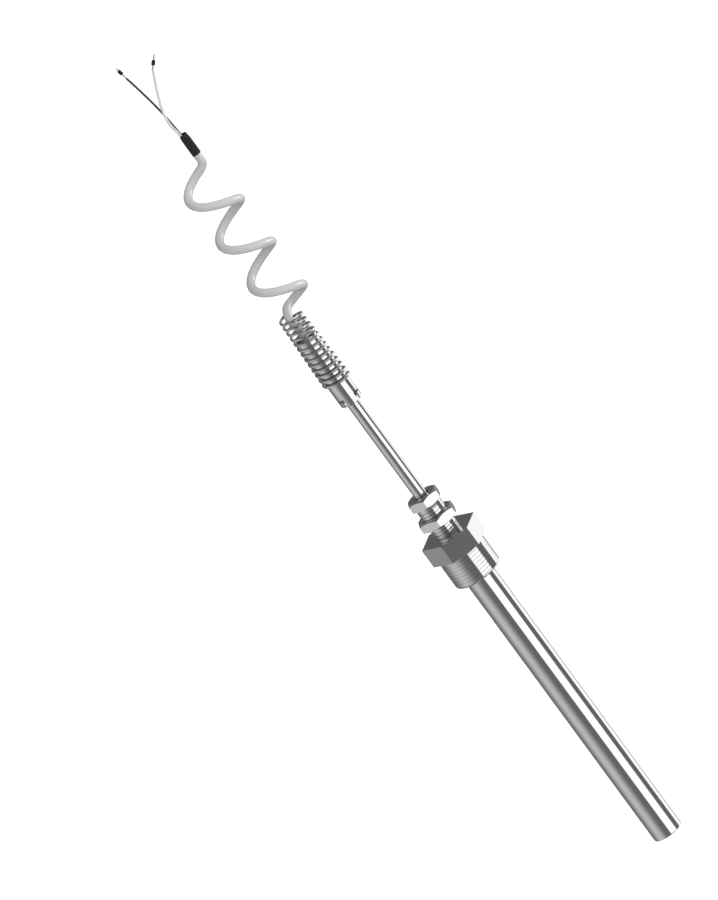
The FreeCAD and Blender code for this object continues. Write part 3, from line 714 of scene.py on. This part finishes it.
class RTD_OT_cap(bpy.types.Operator):
    """Bayonet cap: socket, web and throat, with J-slots in the rim"""
    bl_idname = "rtd_probe.cap"
    bl_label = "Bayonet cap"

    def execute(self, context):
        cap, steel = context.scene.rtd_cap, context.scene.rtd_steel
        low, high = CAP
        cap_r, socket_r, throat_r = width(CAP) / 2, cap.socket_d / 2, cap.throat_d / 2
        rim, guide_r = low.z, steel.stem_guide_d / 2
        web_bottom = rim + cap.socket_depth
        web_top = web_bottom + cap.web
        slot_top = rim + cap.slot_height
        levels = np.array([slot_top, slot_top - cap.slot_ramp, rim + cap.slot_floor, rim + cap.rim_chamfer, rim])
        outer_r = np.array([cap_r, cap_r, cap_r, cap_r, cap_r - cap.rim_chamfer])
        edge = steel.edge_break
        profile = np.array([
            (throat_r, high.z), (cap_r - edge, high.z), (cap_r, high.z - edge), *zip(outer_r, levels),
            *zip(np.full(len(levels), socket_r), levels[::-1]),
            (socket_r, web_bottom), (guide_r, web_bottom), (guide_r, web_top), (throat_r, web_top),
        ])
        angles, void = self.slot_cells(cap, cap_r, levels)
        points = round_points(profile[:, :1], profile[:, 1:], angles)
        first_outer = 3
        outer = first_outer + np.arange(len(levels))
        inner = first_outer + 2 * len(levels) - 1 - np.arange(len(levels))
        faces = self.walled_faces(len(profile), len(angles), outer, inner, void)
        # Inside the socket, throat and slots 0.55 of the colour is left: painted shade inside the cap
        add_mesh("cap_slotted", [(points, faces)], "cap", "bayonet_cap",
                 bore=(cap_r - cap.rim_chamfer, high.z - edge, 0.55))
        return {"FINISHED"}

    @staticmethod
    def slot_cells(cap, cap_r, levels):
        """Angles round the cap with every slot edge among them, and which cells between levels the slots take.

        A cell lies between two neighbouring levels and two neighbouring angles. The entry leg takes all levels
        down to the rim, the cross leg the top one, the pocket leg all down to the pocket's floor.
        """
        entry_half, pocket_half = cap.entry_width / cap_r / 2, cap.pocket_width / cap_r / 2
        step = FULL_TURN / cap.slots
        entry = np.array([-entry_half, entry_half])
        pocket = cap.pocket_offset + np.array([-pocket_half, pocket_half])
        edges = np.concatenate([entry, pocket])
        one_slot = np.union1d(np.linspace(entry[0], entry[0] + step, 45)[:-1], edges)
        angles = (np.arange(cap.slots)[:, None] * step + one_slot).ravel() + cap.entry_turn
        middle = np.tile((one_slot + np.append(one_slot[1:], entry[0] + step)) / 2, cap.slots)
        in_entry = (middle > entry[0]) & (middle < entry[1])
        in_cross = (middle > entry[0]) & (middle < pocket[1])
        in_pocket = (middle > pocket[0]) & (middle < pocket[1])
        void = np.array([in_cross, in_entry | in_pocket] + [in_entry] * (len(levels) - 3))
        return angles, void

    @staticmethod
    def walled_faces(rows, columns, outer, inner, void):
        """Quads of the cap without its slots' cells, with walls from the outer to the inner side round them.

        A wall stands wherever a cell that a slot takes meets one that it doesn't: beside each other along the
        rim, or one above the other. Its corners run so that it faces into the slot.
        """
        faces = grid_faces(rows, columns, wrap_rows=True).reshape(rows, columns, 4)
        keep = np.ones((rows, columns), dtype=bool)
        keep[outer[:-1]] &= ~void
        keep[inner[1:]] &= ~void
        keep[outer[-1]] &= ~void[-1]

        def stand(taken, free, down, on):
            level, at = np.nonzero(taken & ~free)
            start, end = at, (at + on) % columns
            return np.stack([outer[level] * columns + start, outer[level + down] * columns + end,
                             inner[level + down] * columns + end, inner[level] * columns + start], axis=-1)

        before = np.roll(void, 1, axis=1)
        above = np.vstack([np.zeros(columns, dtype=bool), void])
        below = np.vstack([void, void[-1:]])
        return np.concatenate([
            faces[keep], stand(void, before, 1, 0), stand(before, void, 1, 0)[:, ::-1],
            stand(above, below, 0, 1), stand(below, above, 0, 1)[:, ::-1]])


class RTD_OT_springs(bpy.types.Operator):
    """Conical strain-relief spring round the cable and the load spring inside the cap"""
    bl_idname = "rtd_probe.springs"
    bl_label = "Springs"

    def execute(self, context):
        sizes = context.scene.rtd_springs
        relief = coil_patch(
            sizes.relief_wire / 2, sizes.relief_low_d / 2, sizes.relief_high_d / 2, sizes.relief_bottom,
            sizes.relief_top, sizes.relief_pitch, sizes.relief_turn, -1)
        add_mesh("relief_spring_wire", [relief], "cap", "strain_relief_spring")
        low, high = LOAD
        wire_r = sizes.load_wire / 2
        load = coil_patch(wire_r, sizes.load_d / 2, sizes.load_d / 2, low.z + wire_r, high.z - wire_r,
                          sizes.load_pitch, 0.0, 1, sides=14)
        spring = add_mesh("load_spring_wire", [load], "probe", "load_spring")
        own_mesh(spring)
        return {"FINISHED"}


def add_cord(name, points, diameter, body, *nodes):
    """A cord as one smooth NURBS line with a round section."""
    data = bpy.data.curves.new(name, "CURVE")
    data.dimensions = "3D"
    data.resolution_u = 8
    data.bevel_depth = diameter / 2
    data.bevel_resolution = 7
    data.use_fill_caps = True
    spline = data.splines.new("NURBS")
    spline.points.add(len(points) - 1)
    spline.points.foreach_set("co", np.c_[points, np.ones(len(points))].ravel())
    spline.order_u = 3
    spline.use_endpoint_u = True
    return add_piece(name, data, body, *nodes)


# Cable, in millimetres: from the sheath up through the spring and back into the helix, then out of its top
CABLE_START = [(0, 0, 133.0), (0, 0, 140.0), (0, 0, 145.8), (-1.2, 0.3, 149.9), (-0.3, 1.9, 153.4),
               (1.6, 4.9, 155.6), (5.2, 8.4, 155.6)]
CABLE_END = [(10.6, 9.3, 241.4), (11.4, 8.8, 243.5), (10.8, 8.7, 249.4)]

# Leads, in millimetres from the end of the cable
LEAD_ROUTES = {
    "dark": [(0.2, 0.55, 0.0), (-0.7, 0.8, 9.0), (-1.7, 0.85, 23.0), (-3.6, 0.75, 36.5), (-6.1, 0.65, 49.4)],
    "white": [(-0.8, -0.5, 0.0), (-1.05, -0.5, 8.5), (-2.75, -0.7, 17.4), (-0.9, -0.75, 26.3), (3.3, -0.6, 36.6),
              (7.4, -0.6, 45.4)],
}
CORE_DIRECTIONS = {"dark": (-0.17, 0.0, 0.985), "white": (0.66, 0.0, 0.75)}
HELIX_STEPS = 16                   # control points in a turn of the cable's helix


class RTD_OT_cable(bpy.types.Operator):
    """Curly cable: straight out of the ferrule, a left-handed helix, and up into the sleeve"""
    bl_idname = "rtd_probe.cable"
    bl_label = "Curly cable"

    def execute(self, context):
        sizes = context.scene.rtd_cable
        low, high = TAIL[0], CABLE_TOP[1]
        start = np.array([(0, 0, low.z / MM), *CABLE_START]) * MM
        top_x, top_y = (CABLE_TOP[0].x + high.x) / 2, (CABLE_TOP[0].y + high.y) / 2
        end = np.array([*CABLE_END, (top_x / MM, top_y / MM, high.z / MM)]) * MM
        points = np.concatenate([start, self.helix(sizes), end])
        cable = add_cord("cable", points, sizes.cable_d, "probe", "cable_tail", "cable_coil", "cable_top")
        return {"FINISHED"}

    @staticmethod
    def helix(sizes):
        """Control points of the helix: the angle falls by a turn for each pitch of height.

        A smooth line of order 3 runs inside its control points by the factor 3/4 + 1/4 cos(step). Each turn is a
        little shallower than wide and falls to the back, and the axis leans back.
        """
        turns = (sizes.coil_high - sizes.coil_low) / sizes.coil_pitch
        height = np.linspace(sizes.coil_low, sizes.coil_high, round(turns * HELIX_STEPS) + 1)
        bearing = sizes.crest_turn - FULL_TURN * (height - sizes.crest_height) / sizes.coil_pitch
        radius = sizes.coil_radius / (0.75 + 0.25 * math.cos(FULL_TURN / HELIX_STEPS))
        axis_y = sizes.coil_y + sizes.coil_lean * (height - (sizes.coil_low + sizes.coil_high) / 2)
        x = sizes.coil_x + radius * np.cos(bearing)
        y = axis_y + sizes.coil_depth * radius * np.sin(bearing)
        return np.stack([x, y, height - sizes.coil_tilt * radius * np.sin(bearing)], axis=-1)


class RTD_OT_leads(bpy.types.Operator):
    """Heat-shrink sleeve, dark and white lead, and their bare cores and collars"""
    bl_idname = "rtd_probe.leads"
    bl_label = "Sleeve and leads"

    def execute(self, context):
        sizes = context.scene.rtd_leads
        self.sleeve(sizes)
        top = CABLE_TOP[1]
        cable_end = np.array([(SLEEVE[0].x + SLEEVE[1].x) / 2, (SLEEVE[0].y + SLEEVE[1].y) / 2, top.z])
        for name, diameter, long in (("dark", sizes.dark_d, sizes.dark_length),
                                     ("white", sizes.white_d, sizes.white_length)):
            route = np.array(LEAD_ROUTES[name]) * MM + cable_end
            lead = add_cord(f"{name}_lead_wire", route, diameter, "probe", f"{name}_lead")
            bare = sizes.dark_bare if name == "dark" else sizes.white_bare
            pieces = self.core_and_collar(sizes, name, route[-1], bare)
        return {"FINISHED"}

    @staticmethod
    def sleeve(sizes):
        """A shrunk sleeve: a round wall drawn in at its top, with slight waves of its radius along and round it."""
        low, high = SLEEVE
        outer_r, mouth_r, wall = width(SLEEVE) / 2, sizes.sleeve_mouth_d / 2, sizes.sleeve_wall
        neck = high.z - sizes.sleeve_taper
        soft = wall / 3
        rows = soften(*section([
            (mouth_r - wall, high.z, soft), (mouth_r, high.z, soft), (outer_r, neck, wall * 4),
            (outer_r, low.z, soft), (outer_r - wall, low.z, soft), (outer_r - wall, neck, wall),
        ], ROUND_COLUMNS))
        angles = even_angles()
        rise = (rows[..., 1] - low.z) / (high.z - low.z)
        wave = 0.02 * MM * np.sin(3 * angles + 9 * rise) * np.sin(14 * rise)
        points = round_points(rows[..., 0] + wave, rows[..., 1], angles)
        points += np.array([(low.x + high.x) / 2, (low.y + high.y) / 2, 0])
        faces = grid_faces(len(rows), ROUND_COLUMNS, wrap_rows=True)
        add_mesh("heat_shrink_sleeve", [(points, faces)], "probe", "heat_shrink")

    @staticmethod
    def core_and_collar(sizes, name, start, bare):
        """A bare core of twisted strands that ends in a smooth pin, and the collar crimped on it.

        The core's radius is notched between six strands that turn once in a lay length; the notches fade out
        under the collar, and the end is rounded.
        """
        core_r, strands, lay = sizes.core_d / 2, 6, 3.0 * MM
        angles = even_angles(48)
        tip = np.linspace(0, math.pi / 2, 8)
        along = np.concatenate([[0], np.linspace(0, sizes.core_length - core_r, 70),
                                sizes.core_length - core_r + core_r * np.sin(tip)[1:]])[:, None]
        swell = np.concatenate([[0], np.ones(70), np.cos(tip)[1:]])[:, None]
        fade = np.clip((bare + sizes.collar_length / 2 - along) / sizes.collar_length * 2, 0, 1)
        notch = 1 - np.abs(np.cos(strands / 2 * (angles - FULL_TURN * along / lay)))
        radius = core_r * swell * (1 - 0.3 * fade * notch ** 2)
        core_points = set_along(round_points(radius, along, angles), start, CORE_DIRECTIONS[name])
        core_faces = grid_faces(len(along), len(angles))[:, ::-1]
        core = add_mesh(f"{name}_core_strands", [(core_points, core_faces)], "probe", f"{name}_lead_core")
        bottom, top = bare, bare + sizes.collar_length
        wide_r, edge = sizes.collar_d / 2, 0.15 * MM
        collar_points, collar_faces = turned_patch([
            (core_r + edge / 2, top, edge / 4), (wide_r * 0.95, top, edge), (wide_r, bottom + edge * 3, edge * 2),
            (wide_r, bottom, edge), (core_r + edge / 2, bottom, edge / 4),
        ], even_angles(64), True)
        collar_points = set_along(collar_points, start, CORE_DIRECTIONS[name])
        collar = add_mesh(f"{name}_collar_crimp", [(collar_points, collar_faces)], "probe", f"{name}_lead_collar")
        return [core, collar]


class RTD_OT_inner_parts(bpy.types.Operator):
    """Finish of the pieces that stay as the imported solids: packing, follower and the filling of the sheath"""
    bl_idname = "rtd_probe.inner_parts"
    bl_label = "Inner parts"

    def execute(self, context):
        for node, piece in frame["nodes"].items():
            for material_slot in piece.material_slots:
                material_slot.link = "OBJECT"
                material_slot.material = finish_for(SLOT_OF_NODE[node])
        return {"FINISHED"}


class RTD_OT_stage(bpy.types.Operator):
    """Stage: white floor, soft studio light and the camera"""
    bl_idname = "rtd_probe.stage"
    bl_label = "Stage"

    def execute(self, context):
        settings = context.scene.rtd_stage
        context.scene.view_settings.view_transform = "Standard"
        turn, lift, roll = settings.azimuth, settings.elevation, settings.roll
        right = Vector((math.cos(turn), math.sin(turn), 0))
        facing = Vector((math.sin(turn), -math.cos(turn), 0))
        self.floor(settings)
        self.light(context.scene, right, facing, math.sin(lift))
        self.sheen(context.scene, right - facing * 0.09 - Vector((0, 0, 0.07)))
        self.camera(context.scene, settings, right, facing * math.cos(lift) + Vector((0, 0, math.sin(lift))), roll)
        return {"FINISHED"}

    @staticmethod
    def floor(settings):
        """A wide white floor under the tube's tip; polished steel shows the studio and not the floor."""
        half, height, to_white = 8.0, TUBE[0].z - settings.floor_drop, 0.30
        mesh = bpy.data.meshes.new("floor")
        outline = ((-half, -half), (half, -half), (half, half), (-half, half))
        mesh.from_pydata([(x, y, height) for x, y in outline], [], [(0, 1, 2, 3)])
        material, tree, shader = new_finish("floor_white")
        glow = arithmetic(tree, "MULTIPLY", add_node(tree, "LightPath", "Is Camera Ray"), to_white)
        fill(tree, shader, {"Base Color": (0.97, 0.97, 0.97, 1), "Roughness": 1.0, "Specular IOR Level": 0.0,
                            "Emission Color": (1, 1, 1, 1), "Emission Strength": glow})
        mesh.materials.append(material)
        floor = bpy.data.objects.new("floor", mesh)
        bpy.context.scene.collection.objects.link(floor)
        floor.visible_glossy = False

    @staticmethod
    def light(scene, right, facing, eye):
        """A white room for what is matt, and a studio of white and grey panels for what is polished.

        The panels stand round the probe at angles counted from the camera to its right. Each reaches some way up
        and down from the level that upright steel shows to the camera; beyond it is grey, and overhead dark.
        """
        world = bpy.data.worlds.new("studio")
        scene.world = world
        world.use_nodes = True
        tree = world.node_tree
        direction = add_node(tree, "TexCoord", "Generated")

        def along(axis):
            return add_node(tree, "VectorMath", "Value", {0: direction, 1: axis}, operation="DOT_PRODUCT")

        dark, pale, white = 0.10, 0.745, 0.84
        strip, low, high, tall = 0.17, 0.38, 0.78, 1.06
        left = [(-180, 0.074), (-152, 0.10), (-136, 0.12), (-120, 0.16), (-114, 0.20), (-107, 0.24), (-96, 0.31),
                (-85, 0.385), (-76, 0.40), (-67, 0.38), (-58, 0.35), (-50, 0.30), (-43, 0.24), (-35, 0.18),
                (-27, 0.13), (-18, 0.105), (9.5, dark)]
        stops = [(degrees, level, high) for degrees, level in left] + [
            (11, white, strip), (61, white, strip), (64, dark, high), (101, dark, high), (104, white, tall),
            (117, white, tall), (122, pale, tall), (138, pale, tall), (145, 0.4, low), (157, 0.2, low),
            (180, 0.074, high)]
        panels = tree.nodes.new("ShaderNodeValToRGB")
        ramp = panels.color_ramp
        while len(ramp.elements) < len(stops):
            ramp.elements.new(0.5)
        for element, (degrees, level, reach) in zip(ramp.elements, stops):
            element.position = (degrees + 180) / 360
            element.color = (level, level, level, reach)
        bearing = arithmetic(tree, "ARCTAN2", along(right), along(facing))
        fill(tree, panels, {"Fac": map_range(tree, bearing, -math.pi, math.pi, 0, 1)})

        height = along((0, 0, 1))
        off_level = arithmetic(tree, "ABSOLUTE", arithmetic(tree, "ADD", height, eye))
        past_panel = arithmetic(tree, "SUBTRACT", off_level, panels.outputs["Alpha"])
        blur = 0.06                # half the width of a panel's soft upper and lower edge
        beyond = map_range(tree, past_panel, -blur, blur, 0, 1, interpolation_type="SMOOTHSTEP")
        studio = mix(tree, beyond, panels.outputs["Color"], map_range(tree, height, 0.5, 0.85, 0.17, 0.08))

        strength = 2.0
        away, towards = 0.19, 1.98     # light on what is matt, from the sides away from the key and towards it
        key = right * 0.52 + facing * 0.68 + Vector((0, 0, 0.55))
        soft = map_range(tree, along(key.normalized()), 0, 1, away / strength, towards / strength)
        shown = mix(tree, add_node(tree, "LightPath", "Is Diffuse Ray"), studio, soft)
        plain = (1 / strength, 1 / strength, 1 / strength, 1)
        shown = mix(tree, add_node(tree, "LightPath", "Is Camera Ray"), shown, plain)
        fill(tree, tree.nodes["Background"], {"Color": shown, "Strength": strength})

    @staticmethod
    def sheen(scene, direction):
        """A soft lamp beside the probe that gives the cable's jacket its gloss and lights nothing else."""
        data = bpy.data.lights.new("sheen", "AREA")
        data.energy, data.size = 8.0, 0.3
        lamp = bpy.data.objects.new("sheen", data)
        scene.collection.objects.link(lamp)
        lamp.location = Vector((0, 0, (TAIL[0].z + CABLE_TOP[1].z) / 2)) + direction.normalized()
        lamp.rotation_euler = direction.to_track_quat("Z", "Y").to_euler()
        lamp.visible_diffuse = False
        receivers = bpy.data.collections.new("sheen_receivers")
        receivers.objects.link(bpy.data.objects["cable"])
        lamp.light_linking.receiver_collection = receivers

    @staticmethod
    def camera(scene, settings, right, back, roll):
        """A long lens at the photograph's angle, rolled so that the probe leans to the left."""
        data = bpy.data.cameras.new("camera")
        data.lens, data.sensor_width = 1200.0, 36.0
        up = back.cross(right)
        picture_right = right * math.cos(roll) - up * math.sin(roll)
        picture_up = right * math.sin(roll) + up * math.cos(roll)
        distance = settings.frame_height * data.lens / data.sensor_width
        target = right * settings.target_right + Vector((0, 0, settings.target_height))
        camera = bpy.data.objects.new("camera", data)
        scene.collection.objects.link(camera)
        turn = Matrix((picture_right, picture_up, back)).transposed().to_4x4()
        camera.matrix_world = Matrix.Translation(target + back * distance) @ turn
        data.clip_start, data.clip_end = 1.0, 100.0
        scene.camera = camera


OPERATORS = [
    RTD_OT_bushing, RTD_OT_tube, RTD_OT_gland, RTD_OT_stem, RTD_OT_cap, RTD_OT_springs, RTD_OT_leads, RTD_OT_cable,
    RTD_OT_inner_parts, RTD_OT_stage,
]


class RTD_PT_panel(bpy.types.Panel):
    """The probe's operators and sizes"""
    bl_idname = "RTD_PT_panel"
    bl_label = "RTD probe"
    bl_space_type = "VIEW_3D"
    bl_region_type = "UI"
    bl_category = "RTD probe"

    def draw(self, context):
        column = self.layout.column(align=True)
        for operator in OPERATORS:
            column.operator(operator.bl_idname)
        for name, group in SETTINGS.items():
            box = self.layout.box()
            box.label(text=group.__name__)
            for prop in group.__annotations__:
                box.prop(getattr(context.scene, name), prop)


def register():
    """Register the settings, the operators and the panel."""
    for name, group in SETTINGS.items():
        bpy.utils.register_class(group)
        setattr(bpy.types.Scene, name, PointerProperty(type=group))
    for item in (*OPERATORS, RTD_PT_panel):
        bpy.utils.register_class(item)


def unregister():
    """Take back what register did."""
    for item in (RTD_PT_panel, *reversed(OPERATORS)):
        bpy.utils.unregister_class(item)
    for name, group in SETTINGS.items():
        delattr(bpy.types.Scene, name)
        bpy.utils.unregister_class(group)


def main():
    register()
    for operator in OPERATORS:
        group, action = operator.bl_idname.split(".")
        getattr(getattr(bpy.ops, group), action)()


if __name__ == "__main__":
    main()
